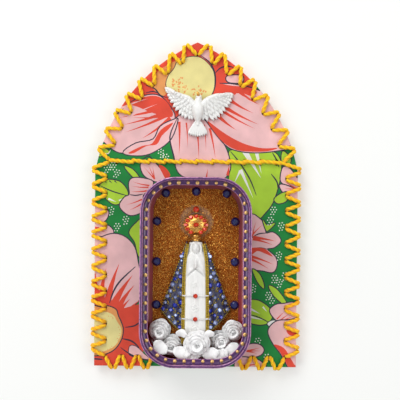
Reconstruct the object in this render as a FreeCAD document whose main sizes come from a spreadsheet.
import FreeCAD, Part
import math
import os
import Sketcher

# A wall-hung tin nicho: a pointed-arch board covered with printed cotton, its edge laced with thick
# yarn, and an oval-cornered fish tin glued on as a niche for a small cast figure, with a cast dove
# above it. Millimetres. +X is to the viewer's right, the front looks along -Y and +Z is up.
# Heights are measured from the board's lower edge. Depths are measured forward from a stated face.
# The frame's origin is the centre of the back face, so every sub-part is lowered by half the board.

# name, value, meaning
SIZES = [
    ("board_base_width", 113.0, "board width at its lower edge"),
    ("board_spring_width", 113.6, "board width where the arch begins"),
    ("board_height", 182.0, "lower edge to the point of the arch"),
    ("spring_height", 109.0, "height at which the arch begins"),
    ("arch_radius", 98.5, "radius of each side of the pointed arch"),
    ("board_thickness", 3.0, "stiff card board"),
    ("fabric_thickness", 0.4, "printed cotton glued round the board"),
    ("hem_width", 3.0, "cotton turned over the board's back edge"),
    ("back_card_thickness", 1.5, "card that hides the back of the lacing"),
    ("back_card_inset", 2.4, "back card's edge inside the board's edge"),
    ("back_dab_size", 9.0, "side of a glue dab under the back card"),
    ("back_dab_side", 30.0, "side dabs from the centre line"),
    ("back_dab_low", 30.0, "lowest dabs above the lower edge"),
    ("back_dab_middle", 88.0, "middle dabs above the lower edge"),
    ("back_dab_high", 145.0, "highest dab above the lower edge"),
    ("yarn_thickness", 1.5, "lacing yarn across its flats"),
    ("yarn_gap", 0.04, "air between yarn and what it lies on"),
    ("strand_gap", 0.1, "air between two strands in one hole, at their corners"),
    ("hole_inset", 5.8, "lacing holes inside the board's edge"),
    ("hole_clearance", 0.15, "room round the strands in a hole"),
    ("side_stitches", 12, "zigzag stitches up each straight side"),
    ("arch_stitches", 8, "zigzag stitches up each side of the arch"),
    ("base_stitches", 3, "zigzag stitches each side of the tin below"),
    ("corner_hole_height", 5.2, "corner lacing hole above the lower edge"),
    ("row_height", 115.0, "height of the stitched row across the board"),
    ("row_stitches", 10, "stitches in the row across the board"),
    ("row_end_gap", 4.6, "row's first hole inside the lacing hole"),
    ("tin_width", 60.0, "tin over its seam"),
    ("tin_length", 102.3, "tin over its seam, top to bottom"),
    ("tin_corner", 19.0, "corner radius of the seam"),
    ("tin_depth", 22.0, "tin from base to rim"),
    ("tin_rise", 3.5, "seam above the board's lower edge"),
    ("tin_wall", 0.35, "tinplate"),
    ("tin_glue", 0.5, "glue between cotton and tin"),
    ("tin_glue_inset", 12.0, "glue pad's edge inside the seam"),
    ("base_round", 3.6, "rounded edge of the tin's base"),
    ("seam_width", 1.75, "folded seam, across"),
    ("seam_height", 3.0, "folded seam, top to bottom"),
    ("seam_crest", 0.55, "roof of the seam, foot to top"),
    ("seam_play", 0.05, "tin wall to the lid's wall inside it"),
    ("flange_recess", 4.0, "lid flange below the seam's top"),
    ("flange_reach", 4.7, "cut edge of the lid inside the seam"),
    ("dot_count", 54, "paint dots round the lid flange"),
    ("dot_diameter", 2.2, "paint dot"),
    ("dot_height", 0.6, "paint dot"),
    ("card_margin", 0.5, "glitter card's edge inside the flat base"),
    ("card_thickness", 0.3, "glitter card"),
    ("stone_diameter", 5.0, "blue flat-back stone"),
    ("stone_height", 1.6, "blue flat-back stone"),
    ("stone_inset", 8.0, "side stones inside the seam's outline"),
    ("stone_low", 31.1, "lowest side stones above the tin's foot"),
    ("stone_middle", 55.3, "middle side stones above the tin's foot"),
    ("stone_high", 24.3, "highest side stones below the tin's top"),
    ("stone_corner_inset", 12.9, "top corner stones inside the seam's outline"),
    ("stone_corner_drop", 8.6, "top corner stones below the tin's top"),
    ("stone_top_drop", 7.5, "top middle stone below the tin's top"),
    ("figure_glue", 0.25, "glue behind figure and crown"),
    ("mantle_floor", 1.2, "mantle wall behind the robe"),
    ("mantle_room", 10.2, "mantle corner inside the seam's outline"),
    ("mantle_corner_height", 32.0, "mantle corner above the lower edge"),
    ("mantle_hem_half", 13.2, "lowest bend of the hem from the centre line"),
    ("mantle_hem_height", 24.3, "that bend above the lower edge"),
    ("mantle_low", 20.0, "hem at the robe above the lower edge"),
    ("mantle_top", 70.5, "top of the mantle above the lower edge"),
    ("mantle_edge", 1.2, "mantle thickness at its outer edge"),
    ("mantle_low_depth", 7.2, "mantle depth beside the robe at the hem"),
    ("mantle_top_depth", 4.6, "mantle depth beside the head"),
    ("robe_low_half", 5.3, "half the robe panel's width at the hem"),
    ("robe_top_half", 3.25, "half the robe panel's width at the neck"),
    ("robe_foot", 12.0, "foot of the robe above the lower edge"),
    ("robe_top", 62.7, "neck of the robe above the lower edge"),
    ("robe_proud", 1.0, "robe in front of the mantle's edge"),
    ("robe_gap", 0.06, "robe to mantle"),
    ("hands_height", 54.0, "joined hands above the lower edge"),
    ("hands_proud", 0.9, "joined hands in front of the robe"),
    ("hands_below", 4.0, "slope of the robe below the hands"),
    ("hands_above", 3.0, "slope of the robe above the hands"),
    ("trim_width", 1.6, "gold braid on the mantle's front edges"),
    ("trim_thickness", 0.8, "gold braid"),
    ("head_half_width", 3.1, "head and veil"),
    ("head_half_height", 3.75, "head and veil"),
    ("head_depth", 6.0, "head and veil, back to front"),
    ("upper_cord_height", 40.7, "upper robe cord above the lower edge"),
    ("lower_cord_height", 28.0, "lower robe cord above the lower edge"),
    ("robe_cord_width", 0.9, "moulded cord on the robe"),
    ("robe_cord_proud", 0.6, "moulded cord on the robe"),
    ("robe_chaton", 1.6, "red chaton on a robe cord"),
    ("mantle_stone", 2.1, "small stone on the mantle"),
    ("mantle_stone_height", 0.8, "small stone on the mantle"),
    ("mantle_stone_pitch", 2.84, "least distance of stones in a row"),
    ("mantle_row_pitch", 5.04, "rows of stones, one to the next"),
    ("mantle_rows_end", 12.6, "stones end this far below the mantle's top"),
    ("shoulder_stone", 2.5, "clear stone on a shoulder"),
    ("shoulder_stone_drop", 8.25, "shoulder stone below the mantle's top"),
    ("band_gap", 0.2, "crown band above the mantle"),
    ("band_height", 3.3, "crown band, top to bottom"),
    ("band_half", 2.7, "half the crown band's width"),
    ("band_depth", 5.6, "crown band, back to front"),
    ("crown_radius", 6.4, "crown orb"),
    ("crown_depth", 5.0, "crown orb, back to front"),
    ("crown_chaton", 2.1, "red chaton round the crown"),
    ("crown_boss", 2.6, "red chaton in the middle of the crown"),
    ("finial_diameter", 3.8, "ball on the crown"),
    ("dove_glue", 0.3, "glue behind the dove"),
    ("dove_drop", 2.5, "dove's middle below halfway from the row to the point"),
    ("dove_room", 16.1, "wing tips inside the lacing holes, at the dove's middle"),
    ("dove_depth", 5.0, "dove's body, back to front"),
    ("rose_depth", 11.5, "paper rose, back to front"),
]

doc = FreeCAD.newDocument("tin_nicho")
sheet = doc.addObject("Spreadsheet::Sheet", "sizes")
for row, (alias, value, meaning) in enumerate(SIZES, start=1):
    sheet.set("A%d" % row, meaning)
    sheet.set("B%d" % row, str(value))
    sheet.setAlias("B%d" % row, alias)
doc.recompute()


def size(alias):
    return float(sheet.get(alias))


# Stations measured forward from the wall.
CARD_FRONT = size("back_card_thickness")
YARN_ROOM = size("yarn_thickness") + 2 * size("yarn_gap")
HEM_BACK = CARD_FRONT + YARN_ROOM
BOARD_BACK = HEM_BACK + size("fabric_thickness")
BOARD_FRONT = BOARD_BACK + size("board_thickness")
COTTON_FRONT = BOARD_FRONT + size("fabric_thickness")
TIN_BACK = COTTON_FRONT + size("tin_glue")
CARD_BACK = TIN_BACK + size("tin_wall")
CARD_FACE = CARD_BACK + size("card_thickness")
FIGURE_BACK = CARD_FACE + size("figure_glue")
ROBE_BACK = FIGURE_BACK + size("mantle_floor")
TIN_MIDDLE = size("tin_rise") + size("tin_length") / 2
TIN_TOP = size("tin_rise") + size("tin_length")


def at(x, depth, height):
    """A point by its side, its distance in front of the wall, and its height."""
    return FreeCAD.Vector(x, -depth, height)


def arch_outline(offset):
    """The board's outline moved outwards: five edges, as points and the two arcs' middle points."""
    base = size("board_base_width") / 2
    spring = FreeCAD.Vector(size("board_spring_width") / 2, size("spring_height"), 0)
    top = FreeCAD.Vector(0, size("board_height"), 0)
    chord = top - spring
    inward = FreeCAD.Vector(-chord.y, chord.x, 0).normalize()
    reach = math.sqrt(size("arch_radius") ** 2 - (chord.Length / 2) ** 2)
    centre = spring + chord * 0.5 + inward * reach
    radius = size("arch_radius") + offset
    up = (spring - FreeCAD.Vector(base, 0, 0)).normalize()
    out = FreeCAD.Vector(up.y, -up.x, 0)
    start = FreeCAD.Vector(base, 0, 0) + out * offset
    foot = start + up * ((-offset - start.y) / up.y)
    to_centre = centre - foot
    along = to_centre.dot(up)
    across = math.sqrt(to_centre.Length ** 2 - along ** 2)
    shoulder = foot + up * (along + math.sqrt(radius ** 2 - across ** 2))
    point = FreeCAD.Vector(0, centre.y + math.sqrt(radius ** 2 - centre.x ** 2), 0)
    return foot, shoulder, point, centre, radius


def arc_middle(centre, radius, first, last):
    """The middle point of the short arc between two points of a circle."""
    half_way = ((first - centre) + (last - centre)).normalize()
    return centre + half_way * radius


def mirrored(point):
    return FreeCAD.Vector(-point.x, point.y, point.z)


def arch_edges(offset):
    """Sketch geometry of the offset outline, in drawing order from the lower edge."""
    foot, shoulder, point, centre, radius = arch_outline(offset)
    right = arc_middle(centre, radius, shoulder, point)
    return [
        Part.LineSegment(mirrored(foot), foot),
        Part.LineSegment(foot, shoulder),
        Part.Arc(shoulder, right, point),
        Part.Arc(point, mirrored(right), mirrored(shoulder)),
        Part.LineSegment(mirrored(shoulder), mirrored(foot)),
    ]


def round_edges(half_width, half_height, corner, middle=0.0):
    """Sketch geometry of a rectangle with round corners, centred at the given height."""
    edges = []
    flat_x, flat_y = half_width - corner, half_height - corner
    last = None
    first = None
    for quarter, (sx, sy) in enumerate([(1, 1), (-1, 1), (-1, -1), (1, -1)]):
        centre = FreeCAD.Vector(sx * flat_x, middle + sy * flat_y, 0)
        turn = [math.radians(90 * quarter + step) for step in (0, 45, 90)]
        arc = [centre + FreeCAD.Vector(math.cos(a), math.sin(a), 0) * corner for a in turn]
        if last is not None:
            edges.append(Part.LineSegment(last, arc[0]))
        edges.append(Part.Arc(*arc))
        first = first or arc[0]
        last = arc[2]
    edges.append(Part.LineSegment(last, first))
    return edges


def rectangle_edges(half_width, half_height, middle):
    """Sketch geometry of an upright rectangle centred at the given height."""
    signs = [(1, -1), (1, 1), (-1, 1), (-1, -1)]
    corners = [FreeCAD.Vector(sx * half_width, middle + sy * half_height, 0) for sx, sy in signs]
    return [Part.LineSegment(corners[i - 1], corners[i]) for i in range(4)]


def tin_edges(inset):
    """The tin's plan outline, moved inwards."""
    half_width, half_length = size("tin_width") / 2, size("tin_length") / 2
    return round_edges(half_width - inset, half_length - inset, size("tin_corner") - inset, TIN_MIDDLE)


def origin_plane(body, role):
    return next(item for item in body.Origin.OriginFeatures if item.Role == role)


def lower(item):
    """Bring a sub-part from board heights to the frame's origin."""
    item.setExpression("Placement.Base.z", "-sizes.board_height / 2")


def plate(name, edges, thickness, depth):
    """A flat piece: an outline drawn on the upright plane and padded forward from its back face."""
    body = doc.addObject("PartDesign::Body", name)
    body.Label = name
    outline = body.newObject("Sketcher::SketchObject", name + "_outline")
    outline.AttachmentSupport = [(origin_plane(body, "XZ_Plane"), "")]
    outline.MapMode = "FlatFace"
    outline.addGeometry(edges, False)
    joint_count = len(edges)
    for index in range(joint_count):
        outline.addConstraint(Sketcher.Constraint("Coincident", index, 2, (index + 1) % joint_count, 1))
    pad = body.newObject("PartDesign::Pad", name + "_pad")
    pad.Profile = outline
    pad.setExpression("Length", thickness)
    body.Placement.Base = FreeCAD.Vector(0, -depth, 0)
    doc.recompute()
    return body


def feature(name, shape):
    item = doc.addObject("Part::Feature", name)
    item.Label = name
    item.Shape = shape
    return item


def polygon_face(points):
    return Part.Face(Part.makePolygon(points + [points[0]]))


def flat_patches(corners):
    """One face where four corners are in a plane, otherwise two triangles."""
    corners = [p for i, p in enumerate(corners) if (p - corners[i - 1]).Length > 1e-6]
    if len(corners) < 3:
        return []
    if len(corners) == 4:
        normal = (corners[1] - corners[0]).cross(corners[2] - corners[0])
        if normal.Length > 1e-9 and abs((corners[3] - corners[0]).dot(normal.normalize())) < 1e-6:
            return [polygon_face(corners)]
        return [polygon_face(corners[:3]), polygon_face([corners[0], corners[2], corners[3]])]
    return [polygon_face(corners)]


def closed_solid(faces):
    shell = Part.makeShell(faces)
    shell.sewShape()
    solid = Part.makeSolid(Part.Shell(shell.Faces))
    if solid.Volume < 0:
        solid.reverse()
    return solid


def stacked(rings):
    """A solid skinned over rings of equally many points, closed by its first and last ring."""
    faces = [polygon_face(rings[0]), polygon_face(rings[-1])]
    count = len(rings[0])
    for low, high in zip(rings, rings[1:]):
        for i in range(count):
            j = (i + 1) % count
            faces += flat_patches([low[i], low[j], high[j], high[i]])
    return closed_solid(faces)


def relief(front, back):
    """A casting from a grid of front points and a grid of back points of the same size."""
    faces = []
    rows, columns = len(front), len(front[0])
    for r in range(rows - 1):
        for c in range(columns - 1):
            for grid in (front, back):
                faces += flat_patches([grid[r][c], grid[r][c + 1], grid[r + 1][c + 1], grid[r + 1][c]])
    for r in (0, rows - 1):
        for c in range(columns - 1):
            faces += flat_patches([front[r][c], front[r][c + 1], back[r][c + 1], back[r][c]])
    for c in (0, columns - 1):
        for r in range(rows - 1):
            faces += flat_patches([front[r][c], front[r + 1][c], back[r + 1][c], back[r][c]])
    return closed_solid(faces)


def disc_ring(x, depth, height, half_width, half_height, sides, turn=0.0):
    """A ring of points round an axis that runs forward."""
    angles = [2 * math.pi * (i + turn) / sides for i in range(sides)]
    return [at(x + half_width * math.cos(a), depth, height + half_height * math.sin(a)) for a in angles]


def gem(seat, normal, diameter, height, sides=8, table=0.55, girdle=0.3):
    """A faceted flat-back stone standing on a seat, its table facing along the normal."""
    normal = FreeCAD.Vector(normal).normalize()
    side = normal.cross(FreeCAD.Vector(0, 0, 1)).normalize()
    up = side.cross(normal)
    rings = []
    for share, scale in ((0.0, 1.0), (girdle, 1.0), (1.0, table)):
        centre = seat + normal * (height * share)
        ring = []
        for i in range(sides):
            a = 2 * math.pi * (i + 0.5) / sides
            ring.append(centre + (side * math.cos(a) + up * math.sin(a)) * (diameter / 2 * scale))
        rings.append(ring)
    return stacked(rings)


FORWARD = FreeCAD.Vector(0, -1, 0)


def backing_blank():
    """The board before it is pierced. Its outline is tied to the sheet of sizes."""
    body = doc.addObject("PartDesign::Body", "board_blank")
    outline = body.newObject("Sketcher::SketchObject", "board_outline")
    outline.AttachmentSupport = [(origin_plane(body, "XZ_Plane"), "")]
    outline.MapMode = "FlatFace"
    outline.addGeometry(arch_edges(0), False)
    base, right, right_arc, left_arc, left = range(5)
    start, end = 1, 2
    around = [base, right, right_arc, left_arc, left]
    for first, second in zip(around, around[1:] + around[:1]):
        outline.addConstraint(Sketcher.Constraint("Coincident", first, end, second, start))
    outline.addConstraint(Sketcher.Constraint("Symmetric", base, start, base, end, -2))
    outline.addConstraint(Sketcher.Constraint("PointOnObject", base, start, -1))
    outline.addConstraint(Sketcher.Constraint("Symmetric", right, end, left, start, -2))
    outline.addConstraint(Sketcher.Constraint("PointOnObject", right_arc, end, -2))
    outline.addConstraint(Sketcher.Constraint("Equal", right_arc, left_arc))
    driving = [
        ("board_base_width", "DistanceX", (base, start, base, end)),
        ("board_spring_width", "DistanceX", (left, start, right, end)),
        ("spring_height", "DistanceY", (right, end)),
        ("board_height", "DistanceY", (right_arc, end)),
        ("arch_radius", "Radius", (right_arc,)),
    ]
    for alias, kind, places in driving:
        index = outline.addConstraint(Sketcher.Constraint(kind, *places, size(alias)))
        outline.renameConstraint(index, alias)
        outline.setExpression("Constraints." + alias, "sizes." + alias)
    pad = body.newObject("PartDesign::Pad", "board_pad")
    pad.Profile = outline
    pad.setExpression("Length", "sizes.board_thickness")
    body.Placement.Base = FreeCAD.Vector(0, -BOARD_BACK, 0)
    doc.recompute()
    return body


# The lacing's places. A station is a point on the board and the direction of travel there.
HALF_YARN = size("yarn_thickness") / 2
STRAND_SIDES = 4
STRAND_RADIUS = HALF_YARN / math.cos(math.pi / STRAND_SIDES)
HALF_SPACING = STRAND_RADIUS + size("strand_gap") / 2
TIP_OUTSET = size("fabric_thickness") + size("yarn_gap") + STRAND_RADIUS
SIDE_STITCHES = int(size("side_stitches"))
ARCH_STITCHES = int(size("arch_stitches"))
BASE_STITCHES = int(size("base_stitches"))
ROW_STITCHES = int(size("row_stitches"))
STITCH_PITCH = (size("row_height") - size("corner_hole_height")) / SIDE_STITCHES


def flat(x, height):
    return FreeCAD.Vector(x, height, 0)


def side_edge(height):
    """Half the board's width on the straight side."""
    base, spring = size("board_base_width") / 2, size("board_spring_width") / 2
    return base + (spring - base) * height / size("spring_height")


def half_lacing():
    """Holes and edge tips from the tin, round the right-hand corner and up to the point of the arch."""
    inset, low = size("hole_inset"), size("corner_hole_height")
    across, up = flat(1, 0), flat(0, 1)
    holes, tips = [], []
    corner = size("board_base_width") / 2 - inset
    for i in range(BASE_STITCHES):
        x = corner - (BASE_STITCHES - i) * STITCH_PITCH
        holes.append((flat(x, low), across))
        tips.append((flat(x + STITCH_PITCH / 2, -TIP_OUTSET), across))
    holes.append((flat(corner, low), (across + up).normalize()))
    for i in range(SIDE_STITCHES):
        height = low + (i + 0.5) * STITCH_PITCH
        tips.append((flat(side_edge(height) + TIP_OUTSET, height), up))
        if i + 1 < SIDE_STITCHES:
            height = low + (i + 1) * STITCH_PITCH
            holes.append((flat(side_edge(height) - inset, height), up))
    centre, radius = arch_outline(0)[3:]
    inner, outer = radius - inset, radius + TIP_OUTSET
    first = math.asin((size("row_height") - centre.y) / inner)
    last_hole = math.acos(-centre.x / inner)
    last_tip = math.acos(-centre.x / outer)
    for i in range(ARCH_STITCHES + 1):
        a = first + (last_hole - first) * i / ARCH_STITCHES
        way = flat(-math.sin(a), math.cos(a)) if i < ARCH_STITCHES else flat(-1, 0)
        holes.append((centre + flat(math.cos(a), math.sin(a)) * inner, way))
        if i < ARCH_STITCHES:
            b = first + (last_tip - first) * (i + 0.5) / ARCH_STITCHES
            way = flat(-math.sin(b), math.cos(b))
            tips.append((centre + flat(math.cos(b), math.sin(b)) * outer, way))
    return holes, tips


def other_half(stations):
    """The same stations on the left, in the order of travel."""
    return [(flat(-p.x, p.y), flat(way.x, -way.y)) for p, way in reversed(stations)]


def row_holes():
    """Holes of the stitched row, left to right. Their strands stand one above the other."""
    holes, _ = half_lacing()
    end_hole = holes[BASE_STITCHES + SIDE_STITCHES][0]
    reach = end_hole.x - size("row_end_gap")
    return [flat(-reach + 2 * reach * i / ROW_STITCHES, size("row_height")) for i in range(ROW_STITCHES + 1)]


def strand(path):
    """Yarn of a few flats along runs that lie on the board and, between them, pass through it."""
    forward = FreeCAD.Vector(0, 1, 0)
    rings = []
    for i in range(0, len(path) - 1, 2):
        start, end = path[i], path[i + 1]
        along = (end - start).normalize()
        beside = along.cross(forward)
        before = (start - path[i - 1]).normalize().dot(forward) if i > 0 else 0
        after = (path[i + 2] - end).normalize().dot(forward) if i + 2 < len(path) else 0
        run = []
        for centre, lean in ((start, before), (end, after)):
            ring = []
            for step in range(STRAND_SIDES):
                turn = 2 * math.pi * (step + 0.5) / STRAND_SIDES
                side, rise = STRAND_RADIUS * math.cos(turn), STRAND_RADIUS * math.sin(turn)
                ring.append(centre + forward * rise + beside * side - along * (rise * lean))
            run.append(ring)
        shift = straightest_shift(rings[-1], run[0]) if rings else 0
        rings += [ring[shift:] + ring[:shift] for ring in run]
    return stacked(rings)


def straightest_shift(last, ring):
    """How far to turn a ring's numbering so that the next run meets the last with the least twist."""
    count = len(ring)
    opposite = count // 2
    drift = (last[0] + last[opposite]) * 0.5 - (ring[0] + ring[opposite]) * 0.5

    def twist(shift):
        return sum((last[i] - ring[(i + shift) % count] - drift).Length for i in range(count))

    return min(range(count), key=twist)


FRONT_LEVEL = COTTON_FRONT + size("yarn_gap") + HALF_YARN
BACK_LEVEL = CARD_FRONT + size("yarn_gap") + HALF_YARN


def level(point, depth):
    return at(point.x, depth, point.y)


def lacing_path():
    """One strand: up a hole, over the edge, back up the next hole to the same tip, over, and on."""
    right_holes, right_tips = half_lacing()
    holes = right_holes + other_half(right_holes)[1:]
    tips = right_tips + other_half(right_tips)
    tail = holes[-1][0] + flat(2 * STITCH_PITCH / 3, 0)
    spot, way = holes[0]
    path = [level(tail, BACK_LEVEL), level(spot + way * HALF_SPACING, BACK_LEVEL)]
    path.append(level(spot + way * HALF_SPACING, FRONT_LEVEL))
    for i, (tip, tip_way) in enumerate(tips):
        spot, way = holes[i + 1]
        for side in (-1, 1):
            edge, hole = tip + tip_way * (side * HALF_SPACING), spot + way * (side * HALF_SPACING)
            path += [level(edge, FRONT_LEVEL), level(edge, BACK_LEVEL), level(hole, BACK_LEVEL)]
            path.append(level(hole, FRONT_LEVEL))
    return path[:-1]


def row_path():
    """Double running stitch: out along every other stitch, and back through the gaps."""
    holes = row_holes()
    high, low = flat(0, HALF_SPACING), flat(0, -HALF_SPACING)
    path = [level(holes[0] + high * 4, BACK_LEVEL)]
    depth, other = BACK_LEVEL, FRONT_LEVEL
    for i, hole in enumerate(holes):
        spot = hole + (high if i % 2 == 0 and i < ROW_STITCHES else low)
        path += [level(spot, depth), level(spot, other)]
        depth, other = other, depth
    for i in range(ROW_STITCHES - 1, -1, -1):
        spot = holes[i] + (low if i % 2 == 0 else high)
        path += [level(spot, depth), level(spot, other)]
        depth, other = other, depth
    return path[:-1]


def slot(place, way):
    """A cutter for one pierced hole, as long as its two strands side by side."""
    room = STRAND_RADIUS + size("hole_clearance")
    beside = flat(-way.y, way.x)
    length, width = way * (HALF_SPACING + room), beside * room
    corners = [place + length + width, place - length + width, place - length - width, place + length - width]
    past = size("board_thickness")
    low = [level(p, CARD_FRONT - past) for p in corners]
    high = [level(p, COTTON_FRONT + past) for p in corners]
    return stacked([low, high])


def cut(name, base, tool):
    item = doc.addObject("Part::Cut", name)
    item.Label = name
    item.Base = base
    item.Tool = tool
    return item


def upright_wire(edges, depth):
    """Outline geometry as a closed wire standing at a depth in front of the wall."""
    wire = Part.Wire([edge.toShape() for edge in edges])
    wire.Placement = FreeCAD.Placement(at(0, depth, 0), FreeCAD.Rotation(FreeCAD.Vector(1, 0, 0), 90))
    return wire


def tin_sweep(name, points):
    """A section, as points of inset and rise, carried once round the tin's outline."""
    height = TIN_MIDDLE + size("tin_length") / 2 - size("tin_corner")
    corners = [at(size("tin_width") / 2 - inset, TIN_BACK + rise, height) for inset, rise in points]
    sweep = doc.addObject("Part::Sweep", name)
    sweep.Label = name
    sweep.Sections = [feature(name + "_section", Part.makePolygon(corners + [corners[0]]))]
    sweep.Spine = (feature(name + "_path", upright_wire(tin_edges(0), TIN_BACK)), [])
    sweep.Solid = True
    return sweep


# The tin's wall inside the seam's outline: the lid's wall lines it, inside the seam.
WALL_INSET = size("seam_width") - 2 * size("tin_wall") - size("seam_play")


def rounded_base(centre_inset, centre_rise, radius):
    """The rounded edge of the base in two flats, from the base up to the wall."""
    turns = [math.radians(step) for step in (-90, -135, -180)]
    return [(centre_inset + radius * math.cos(a), centre_rise + radius * math.sin(a)) for a in turns]


def tin_body():
    """The drawn tin, from its rounded base up to the underside of the seam."""
    wall, round_off = size("tin_wall"), size("base_round")
    seam_foot = size("tin_depth") - size("seam_height")
    flat_edge = WALL_INSET + round_off
    outside = rounded_base(flat_edge, round_off, round_off) + [(WALL_INSET, seam_foot)]
    inside = [(WALL_INSET + wall, seam_foot)] + rounded_base(flat_edge, round_off, round_off - wall)[::-1]
    body = doc.addObject("Part::Fuse", "tin_body")
    body.Label = "tin_body"
    body.Base = tin_sweep("tin_wall_ring", outside + inside)
    body.Tool = plate("tin_base", tin_edges(flat_edge), "sizes.tin_wall", TIN_BACK)
    body.Refine = True
    return body


def lid_rim():
    """What is left of the lid: the seam folded over the wall and, sunk inside it, a flange."""
    wall, deep, fold = size("tin_wall"), size("tin_depth"), size("seam_width")
    seam_foot, shoulder = deep - size("seam_height"), deep - size("seam_crest")
    recess, reach = deep - size("flange_recess"), size("flange_reach")
    return tin_sweep("lid_rim", [
        (0, seam_foot), (0, shoulder), (fold / 2, deep), (fold, shoulder), (fold, recess), (reach, recess),
        (reach, recess - wall), (fold - wall, recess - wall), (fold - wall, seam_foot),
    ])


def paint_dots():
    """Raised dots of paint, evenly round the middle of the lid flange."""
    count = int(size("dot_count"))
    depth = TIN_BACK + size("tin_depth") - size("flange_recess")
    ring = upright_wire(tin_edges((size("seam_width") + size("flange_reach")) / 2), depth)
    spots = ring.discretize(Number=count + 1)[:count]
    wide, tall = size("dot_diameter"), size("dot_height")
    dots = [gem(spot, FORWARD, wide, tall, sides=5, table=0.5, girdle=0) for spot in spots]
    return feature("rim_dots", Part.makeCompound(dots))


def wall_stones():
    half, foot = size("tin_width") / 2, size("tin_rise")
    side, corner = half - size("stone_inset"), half - size("stone_corner_inset")
    side_heights = [foot + size("stone_low"), foot + size("stone_middle"), TIN_TOP - size("stone_high")]
    spots = [(0, TIN_TOP - size("stone_top_drop"))]
    for sign in (-1, 1):
        spots.append((sign * corner, TIN_TOP - size("stone_corner_drop")))
        spots += [(sign * side, height) for height in side_heights]
    wide, tall = size("stone_diameter"), size("stone_height")
    stones = [gem(at(x, CARD_FACE, height), FORWARD, wide, tall, table=0.6) for x, height in spots]
    return feature("blue_stones", Part.makeCompound(stones))


def between(low, high, share):
    return low + (high - low) * share


def up_the_figure(low_name, top_name, height):
    """A size that changes evenly from the mantle's hem to its top."""
    share = (height - size("mantle_low")) / (size("mantle_top") - size("mantle_low"))
    return between(size(low_name), size(top_name), share)


def panel_half(height):
    return up_the_figure("robe_low_half", "robe_top_half", height)


def edge_depth(height):
    """How far the mantle's front edges stand in front of the figure's back."""
    return up_the_figure("mantle_low_depth", "mantle_top_depth", height)


def strip_outer(height):
    return panel_half(height) + size("robe_gap") + size("trim_width")


MANTLE_HALF = size("tin_width") / 2 - size("mantle_room")


def side_plane():
    """The plane of the mantle's right side: a point on it, and its normal turned forward."""
    low, top = size("mantle_low"), size("mantle_top")
    first = at(strip_outer(low), edge_depth(low), low)
    second = at(strip_outer(top), edge_depth(top), top)
    corner = at(MANTLE_HALF, size("mantle_edge"), size("mantle_corner_height"))
    normal = (second - first).cross(corner - first).normalize()
    return first, normal if normal.y < 0 else normal * -1


def side_depth(x, height):
    spot, normal = side_plane()
    return -(spot.y - (normal.x * (x - spot.x) + normal.z * (height - spot.z)) / normal.y)


def mantle_grid():
    """Hem and top of the mantle, from the robe's channel to the outer corner on the right."""
    gap = size("robe_gap")
    low, top = size("mantle_low"), size("mantle_top")
    rows = []
    for height in (low, top):
        channel = panel_half(height) + gap
        row = [(channel - gap / 3, height, size("mantle_floor")), (channel, height, edge_depth(height))]
        row.append((strip_outer(height), height, edge_depth(height)))
        bends = [(strip_outer(top) + gap, top), (strip_outer(top) + 2 * gap, top)]
        if height == low:
            bends = [(size("mantle_hem_half"), size("mantle_hem_height"))]
            bends.append((MANTLE_HALF, size("mantle_corner_height")))
        row += [(x, z, side_depth(x, z)) for x, z in bends]
        rows.append(row)
    return rows


def mantle():
    front, back = [], []
    for row in mantle_grid():
        both = [(-x, z, d) for x, z, d in reversed(row)] + row
        front.append([at(x, FIGURE_BACK + d, z) for x, z, d in both])
        back.append([at(x, FIGURE_BACK, z) for x, z, d in both])
    return feature("mantle", relief(front, back))


ACROSS = (-1.0, -0.55, 0.0, 0.55, 1.0)


def robe_front(share, height):
    """Depth of the robe's front at a share of its half width."""
    drop = {0.0: 0.0, 0.55: 0.15, 1.0: 0.9}[abs(share)]
    hands = size("hands_proud") if height == size("hands_height") and share == 0 else 0
    return FIGURE_BACK + edge_depth(height) + size("robe_proud") - drop + hands


def robe_row(height, proud=0.0):
    return [at(share * panel_half(height), robe_front(share, height) + proud, height) for share in ACROSS]


def cord_heights(name):
    half = size("robe_cord_width") / 2
    return [size(name) - half, size(name) + half]


def robe():
    hands = size("hands_height")
    heights = [size("robe_foot"), size("mantle_low")] + cord_heights("lower_cord_height")
    heights += cord_heights("upper_cord_height")
    heights += [hands - size("hands_below"), hands, hands + size("hands_above"), size("robe_top")]
    front = [robe_row(z) for z in heights]
    back = [[at(p.x, ROBE_BACK, p.z) for p in row] for row in front]
    return feature("robe", relief(front, back))


def robe_cords():
    cords = []
    for name in ("lower_cord_height", "upper_cord_height"):
        back = [robe_row(z) for z in cord_heights(name)]
        front = [robe_row(z, size("robe_cord_proud")) for z in cord_heights(name)]
        cords.append(relief(front, back))
    return feature("robe_cords", Part.makeCompound(cords))


def robe_chatons():
    stones = []
    for name in ("lower_cord_height", "upper_cord_height"):
        depth = robe_front(0.0, size(name)) + size("robe_cord_proud") + size("robe_gap")
        stones.append(gem(at(0, depth, size(name)), FORWARD, size("robe_chaton"), size("robe_chaton") / 2, 8))
    return feature("robe_chatons", Part.makeCompound(stones))


def mantle_trims():
    trims = []
    for sign in (-1, 1):
        front, back = [], []
        for height in (size("mantle_low"), size("mantle_top")):
            sides = [sign * x for x in (strip_outer(height) - size("trim_width"), strip_outer(height))]
            depth = FIGURE_BACK + edge_depth(height)
            back.append([at(x, depth, height) for x in sides])
            front.append([at(x, depth + size("trim_thickness"), height) for x in sides])
        trims.append(relief(front, back))
    return feature("mantle_trims", Part.makeCompound(trims))


def mantle_outline(height):
    """Half the mantle's width at a height above its corners."""
    share = (height - size("mantle_corner_height")) / (size("mantle_top") - size("mantle_corner_height"))
    return between(MANTLE_HALF, strip_outer(size("mantle_top")), share)


def side_seat(x, height, sign):
    """A seat on the mantle's side and the direction it faces."""
    _, normal = side_plane()
    seat = at(sign * x, FIGURE_BACK + side_depth(x, height), height)
    return seat, FreeCAD.Vector(sign * normal.x, normal.y, normal.z)


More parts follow.
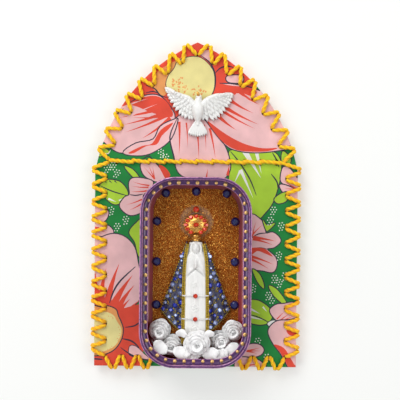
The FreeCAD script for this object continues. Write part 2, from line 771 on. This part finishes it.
# A stone's middle outside the gold braid, as a share of the stone.
STONE_SEAT = 0.75


def mantle_stones():
    """Small stones in level rows down both sides of the mantle."""
    wide, tall = size("mantle_stone"), size("mantle_stone_height")
    corner = size("mantle_corner_height")
    stones = []
    height = corner - wide
    while height < size("mantle_top") - size("mantle_rows_end"):
        outer = mantle_outline(height) - wide if height > corner else size("mantle_hem_half") + wide / 2
        inner = strip_outer(height) + STONE_SEAT * wide
        count = int((outer - inner) / size("mantle_stone_pitch")) + 1
        for i in range(count):
            x = inner if count == 1 else between(inner, outer, i / (count - 1))
            for sign in (-1, 1):
                seat, normal = side_seat(x, height, sign)
                stones.append(gem(seat, normal, wide, tall, sides=6, girdle=0))
        height += size("mantle_row_pitch")
    return feature("mantle_stones", Part.makeCompound(stones))


def shoulder_stones():
    wide = size("shoulder_stone")
    height = size("mantle_top") - size("shoulder_stone_drop")
    beside = strip_outer(height) + wide / 2 + size("robe_gap")
    stones = []
    for sign in (-1, 1):
        seat, normal = side_seat(beside, height, sign)
        stones.append(gem(seat, normal, wide, size("mantle_stone_height")))
    return feature("shoulder_stones", Part.makeCompound(stones))


def turned(x, height, half_width, half_height, depth, length, stages, sides, turn=0.0):
    """A casting of rings round a forward axis. A stage is a share of the size and of the length."""
    rings = [disc_ring(x, depth + length * far, height, half_width * wide, half_height * wide, sides, turn)
             for wide, far in stages]
    return stacked(rings)


def head():
    height = size("robe_top") + size("robe_gap") * 2 + size("head_half_height")
    stages = [(1.0, 0.0), (1.0, 0.5), (0.82, 0.8), (0.45, 1.0)]
    half_width, half_height, deep = size("head_half_width"), size("head_half_height"), size("head_depth")
    return feature("head", turned(0, height, half_width, half_height, ROBE_BACK, deep, stages, sides=12))


BAND_FOOT = size("mantle_top") + size("band_gap")
CROWN_SIDES = 12
CROWN_FLAT = size("crown_radius") * math.cos(math.pi / CROWN_SIDES)
CROWN_HEIGHT = BAND_FOOT + size("band_height") + size("robe_gap") + CROWN_FLAT


# The band's two rolls: share of its height, and how far the surface stands forward there.
BAND_ROLLS = [(0.0, -0.4), (0.22, 0.0), (0.45, -0.1), (0.5, -0.45), (0.55, -0.1), (0.78, 0.0), (1.0, -0.4)]
# The band's bow: share of its half width, and how far the surface stands forward there.
BAND_BOW = [(-1.0, -1.6), (-0.6, -0.5), (0.0, 0.0), (0.6, -0.5), (1.0, -1.6)]


def crown_band():
    """Two rolls with a groove between them, bowed forward."""
    half, face = size("band_half"), FIGURE_BACK + size("band_depth")
    front = []
    for share, proud in BAND_ROLLS:
        height = BAND_FOOT + size("band_height") * share
        front.append([at(half * x, face + proud + back, height) for x, back in BAND_BOW])
    back = [[at(p.x, FIGURE_BACK, p.z) for p in row] for row in front]
    return feature("crown_band", relief(front, back))


CROWN_STAGES = [(0.88, 0.0), (1.0, 0.25), (0.6, 0.85), (0.42, 1.0)]
# A chaton's height as a share of its diameter.
CHATON_RISE = 0.45


def crown_orb():
    r, deep = size("crown_radius"), size("crown_depth")
    orb = turned(0, CROWN_HEIGHT, r, r, FIGURE_BACK, deep, CROWN_STAGES, CROWN_SIDES, 0.5)
    return feature("crown_orb", orb)


def crown_chatons():
    """A chaton on every sloping flat of the orb but the one over the band, and one in the middle."""
    (wide, near), (narrow, far) = CROWN_STAGES[1:3]
    deep = size("crown_depth")
    slope, run = CROWN_FLAT * (wide - narrow), deep * (far - near)
    out, forward = CROWN_FLAT * (wide + narrow) / 2, FIGURE_BACK + deep * (near + far) / 2
    small, boss = size("crown_chaton"), size("crown_boss")
    over_the_band = 3 * CROWN_SIDES // 4
    stones = []
    for i in range(CROWN_SIDES):
        if i != over_the_band:
            a = 2 * math.pi * i / CROWN_SIDES
            seat = at(out * math.cos(a), forward, CROWN_HEIGHT + out * math.sin(a))
            normal = FreeCAD.Vector(math.cos(a) * run, -slope, math.sin(a) * run)
            stones.append(gem(seat, normal, small, small * CHATON_RISE, sides=6, girdle=0))
    middle = at(0, FIGURE_BACK + deep, CROWN_HEIGHT)
    stones.append(gem(middle, FORWARD, boss, boss * CHATON_RISE))
    return feature("crown_chatons", Part.makeCompound(stones))


def crown_finial():
    r, sides = size("finial_diameter") / 2, 8
    height = CROWN_HEIGHT + CROWN_FLAT + size("robe_gap") + r * math.cos(math.pi / sides)
    stages = [(0.6, 0.0), (1.0, 0.3), (1.0, 0.62), (0.6, 0.95), (0.2, 1.0)]
    return feature("crown_finial", turned(0, height, r, r, FIGURE_BACK, 2 * r, stages, sides, 0.5))


def figure_glue():
    """Glue behind the mantle, the crown and its band."""
    half, low, top = size("robe_top_half"), size("mantle_hem_height"), size("mantle_top")
    corners = ((-half, low), (half, low), (half, top), (-half, top))
    strip = stacked([[at(x, depth, z) for x, z in corners] for depth in (CARD_FACE, FIGURE_BACK)])
    r, thick, stages = size("crown_radius"), size("figure_glue"), [(1, 0), (1, 1)]
    pad = turned(0, CROWN_HEIGHT, r, r, CARD_FACE, thick, stages, CROWN_SIDES, 0.5)
    return feature("figure_glue", Part.makeCompound([strip, pad]))


# Side, height above the tin's foot and radius of each paper rose, as shares of half the tin's width,
# and what it stands on. A foot of None stands on the glitter card.
ROSES = [
    ("rose_left", -0.67, 0.63, 0.173, None),
    ("rose_lower_left", -0.45, 0.367, 0.167, None),
    ("rose_middle", 0.023, 0.423, 0.247, "robe"),
    ("rose_lower_right", 0.473, 0.433, 0.16, None),
    ("rose_right", 0.693, 0.657, 0.15, None),
]
# Share of the radius, how lobed the ring is, and share of the depth.
ROSE_STAGES = [(0.35, 0.0, 0.0), (0.75, 0.0, 0.25), (1.0, 0.12, 0.6), (0.95, 0.12, 0.78),
               (0.62, 0.0, 0.72), (0.6, 0.1, 0.93), (0.34, 0.0, 0.86), (0.28, 0.0, 1.0)]
ROSE_POINTS = 10


def rose(name, side, rise, share_of_half, foot):
    half = size("tin_width") / 2
    x, height, radius = side * half, size("tin_rise") + rise * half, share_of_half * half
    depth, length = CARD_FACE, size("rose_depth")
    if foot:
        depth = robe_front(0.0, size("robe_foot")) + size("robe_gap")
        length = TIN_BACK + size("tin_depth") - size("flange_recess") - depth
    rings = []
    for share, lobes, far in ROSE_STAGES:
        ring = []
        for i in range(ROSE_POINTS):
            a = 2 * math.pi * i / ROSE_POINTS
            out = radius * share * (1 - lobes * (i % 2))
            ring.append(at(x + out * math.cos(a), depth + length * far, height + out * math.sin(a)))
        rings.append(ring)
    return feature(name, stacked(rings))


# The dove's outline, as side and height from the middle of its body, root to tip.
LEFT_WING_LOW = [(-0.6, -6.8), (-5.5, -7.6), (-9.5, -5.2), (-12.7, -2.8), (-15.1, 1.3), (-17.1, 5.7)]
LEFT_WING_TOP = [(-0.6, 3.2), (-4.2, 5.6), (-7.0, 7.2), (-10.5, 7.3), (-13.5, 8.0), (-17.8, 10.8)]
RIGHT_WING_LOW = [(1.6, -6.8), (7.4, -8.4), (11.4, -7.2), (15.4, -4.0), (18.6, 1.7), (20.2, 5.6)]
RIGHT_WING_TOP = [(1.6, 3.2), (6.2, 3.6), (9.2, 5.2), (12.5, 5.8), (16.0, 6.0), (20.3, 6.9)]
# The tail's rows from the rump to its tip, each with its thickness as a share of the dove's depth.
TAIL_ROWS = [
    ([(-0.9, -7.0), (0.5, -7.0), (1.9, -7.0)], 0.52),
    ([(-1.2, -11.0), (0.5, -11.2), (2.2, -11.0)], 0.44),
    ([(-5.2, -14.6), (0.8, -17.2), (6.6, -15.2)], 0.2),
]
BODY_MIDDLE, BODY_HALF = (0.5, -1.2), (2.9, 6.4)
HEAD_MIDDLE, HEAD_HALF = (0.4, 5.0), (2.0, 2.3)
BEAK_MIDDLE, BEAK_HALF = (0.2, 7.2), (0.55, 1.1)
# A wing's thickness at its ridge and along its two edges, as shares of the dove's depth.
WING_THICK, WING_LOW_THICK, WING_TOP_THICK = 0.58, 0.16, 0.3
DOVE_MIDDLE = (size("row_height") + size("board_height")) / 2 - size("dove_drop")


def arch_half(height):
    """Half the board's width at a height within the arch."""
    centre, radius = arch_outline(0)[3:]
    return centre.x + math.sqrt(radius ** 2 - (height - centre.y) ** 2)


DOVE_REACH = arch_half(DOVE_MIDDLE) - size("hole_inset") - size("dove_room")
# The dove as cast, against its outline as drawn above.
DOVE_SCALE = DOVE_REACH / RIGHT_WING_TOP[-1][0]


def dove():
    """A cast dove with spread wings, flat behind."""
    back_depth = COTTON_FRONT + size("dove_glue")
    deep = size("dove_depth")

    def spot(point, share=0.0):
        return at(point[0] * DOVE_SCALE, back_depth + deep * share, DOVE_MIDDLE + point[1] * DOVE_SCALE)

    pieces = []
    for low, top in ((LEFT_WING_LOW, LEFT_WING_TOP), (RIGHT_WING_LOW, RIGHT_WING_TOP)):
        across = list(zip(low, top))
        ridge = [((a[0] + b[0]) / 2, (a[1] + 2 * b[1]) / 3) for a, b in across]
        taper = [1 - 0.55 * i / (len(across) - 1) for i in range(len(across))]
        front = [
            [spot(p, WING_LOW_THICK) for p in low],
            [spot(p, WING_THICK * share) for p, share in zip(ridge, taper)],
            [spot(p, WING_TOP_THICK * share) for p, share in zip(top, taper)],
        ]
        pieces.append(relief(front, [[at(p.x, back_depth, p.z) for p in row] for row in front]))
    front = [[spot(p, thick) for p in row] for row, thick in TAIL_ROWS]
    pieces.append(relief(front, [[at(p.x, back_depth, p.z) for p in row] for row in front]))
    stages = [(1.0, 0.0), (1.0, 0.35), (0.78, 0.75), (0.35, 1.0)]
    for middle, half, share in (
        (BODY_MIDDLE, BODY_HALF, 1.0), (HEAD_MIDDLE, HEAD_HALF, 0.92), (BEAK_MIDDLE, BEAK_HALF, 0.8),
    ):
        pieces.append(dove_lump(middle, half, back_depth, deep * share, stages))
    whole = pieces[0].fuse(pieces[1:])
    return feature("dove", whole.removeSplitter())


def dove_lump(middle, half, depth, length, stages, share=1.0):
    """A rounded lump of the dove, drawn from its middle, as cast."""
    x, height = middle[0] * DOVE_SCALE, DOVE_MIDDLE + middle[1] * DOVE_SCALE
    half_width, half_height = half[0] * DOVE_SCALE * share, half[1] * DOVE_SCALE * share
    return turned(x, height, half_width, half_height, depth, length, stages, sides=10)


# The glue pad behind the dove, as a share of its body.
DOVE_GLUE_SHARE = 0.7


def dove_glue():
    stages = [(1, 0), (1, 1)]
    pad = dove_lump(BODY_MIDDLE, BODY_HALF, COTTON_FRONT, size("dove_glue"), stages, DOVE_GLUE_SHARE)
    return feature("dove_glue", pad)


def back_dabs():
    """Glue dabs that hold the back card off the board by the lacing's thickness."""
    half, side = size("back_dab_size") / 2, size("back_dab_side")
    heights = (size("back_dab_low"), size("back_dab_middle"))
    spots = [(x, height) for height in heights for x in (-side, 0, side)]
    spots.append((0, size("back_dab_high")))
    dabs = []
    for x, z in spots:
        corners = [(x - half, z - half), (x + half, z - half), (x + half, z + half), (x - half, z + half)]
        dabs.append(stacked([[at(u, depth, v) for u, v in corners] for depth in (CARD_FRONT, BOARD_BACK)]))
    return feature("back_glue_dabs", Part.makeCompound(dabs))


def build():
    """Every sub-part, in the order in which the maker puts them together."""
    blank = backing_blank()
    holes, _ = half_lacing()
    places = holes + other_half(holes)[1:] + [(spot, flat(0, 1)) for spot in row_holes()]
    slots = feature("lacing_slots", Part.makeCompound([slot(spot, way) for spot, way in places]))
    board = cut("backing_board", blank, slots)
    around = "sizes.board_thickness + 2 * sizes.fabric_thickness"
    cloth = plate("cotton_blank", arch_edges(size("fabric_thickness")), around, HEM_BACK)
    window = plate("hem_window", arch_edges(-size("hem_width")), "sizes.fabric_thickness", HEM_BACK)
    skin = cut("cotton_open", cut("cotton_skin", cloth, blank), window)
    cotton = cut("cotton_cover", skin, slots)
    inset, pad_inset = size("back_card_inset"), size("tin_glue_inset")
    pad_half, pad_reach = size("tin_width") / 2 - pad_inset, size("tin_length") / 2 - pad_inset
    pad_outline = rectangle_edges(pad_half, pad_reach, TIN_MIDDLE)
    card_inset = WALL_INSET + size("base_round") + size("card_margin")
    parts = [
        board,
        cotton,
        feature("edge_lacing", strand(lacing_path())),
        feature("row_stitching", strand(row_path())),
        back_dabs(),
        plate("back_card", arch_edges(-inset), "sizes.back_card_thickness", 0.0),
        plate("tin_glue_pad", pad_outline, "sizes.tin_glue", COTTON_FRONT),
        tin_body(),
        lid_rim(),
        paint_dots(),
        plate("glitter_card", tin_edges(card_inset), "sizes.card_thickness", CARD_BACK),
        wall_stones(),
        figure_glue(),
        mantle(),
        robe(),
        robe_cords(),
        robe_chatons(),
        mantle_trims(),
        mantle_stones(),
        shoulder_stones(),
        head(),
        crown_band(),
        crown_orb(),
        crown_chatons(),
        crown_finial(),
    ]
    parts += [rose(*row) for row in ROSES]
    parts += [dove_glue(), dove()]
    for part in parts:
        lower(part)
    doc.recompute()
    return parts


def check(parts):
    """Stop with a plain message if any object failed or any shape is unsound."""
    for item in doc.Objects:
        if "Invalid" in item.State or "Error" in item.State:
            raise RuntimeError(item.Name + " failed: " + ", ".join(item.State))
    for part in parts:
        shape = part.Shape
        if shape.isNull() or not shape.Solids or not shape.isValid():
            raise RuntimeError(part.Label + " is not a sound solid")


parts = build()
check(parts)
os.makedirs("parts", exist_ok=True)
for part in parts:
    part.Shape.exportStep("parts/%s.step" % part.Label)
    print(part.Label, len(part.Shape.Solids), "solids", round(part.Shape.Volume, 2), "mm3")
